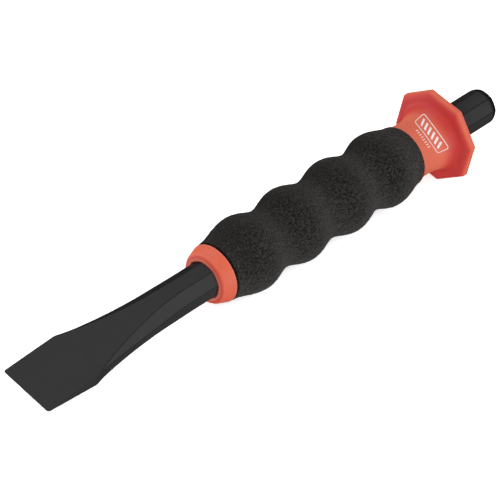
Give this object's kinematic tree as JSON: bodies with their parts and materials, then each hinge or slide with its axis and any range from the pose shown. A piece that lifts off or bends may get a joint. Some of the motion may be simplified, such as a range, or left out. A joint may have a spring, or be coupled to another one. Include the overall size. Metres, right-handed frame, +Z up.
{
  "type": "cold chisel",
  "caption": "Flat cold chisel: octagonal steel bar with a wedge blade, a foam finger grip and an octagonal hand guard below the struck head.",
  "frame": {"origin": "below the middle of the bar, level with the lowest flat of the guard", "axes": "+X along the bar from the cutting edge to the struck head, +Z up and square to the blade's flat faces, +Y across the blade"},
  "size_m": [0.25, 0.037, 0.0371],
  "materials": {
    "black_steel": "satin black coating over forged steel",
    "red_plastic": "satin moulded plastic, orange-red",
    "black_foam": "matt fine-celled foam rubber"
  },
  "bodies": {
    "root": {"chisel_bar": "black_steel", "guard_sleeve": "red_plastic", "foam_grip": "black_foam", "front_collar": "red_plastic"}
  },
  "joints": []
}
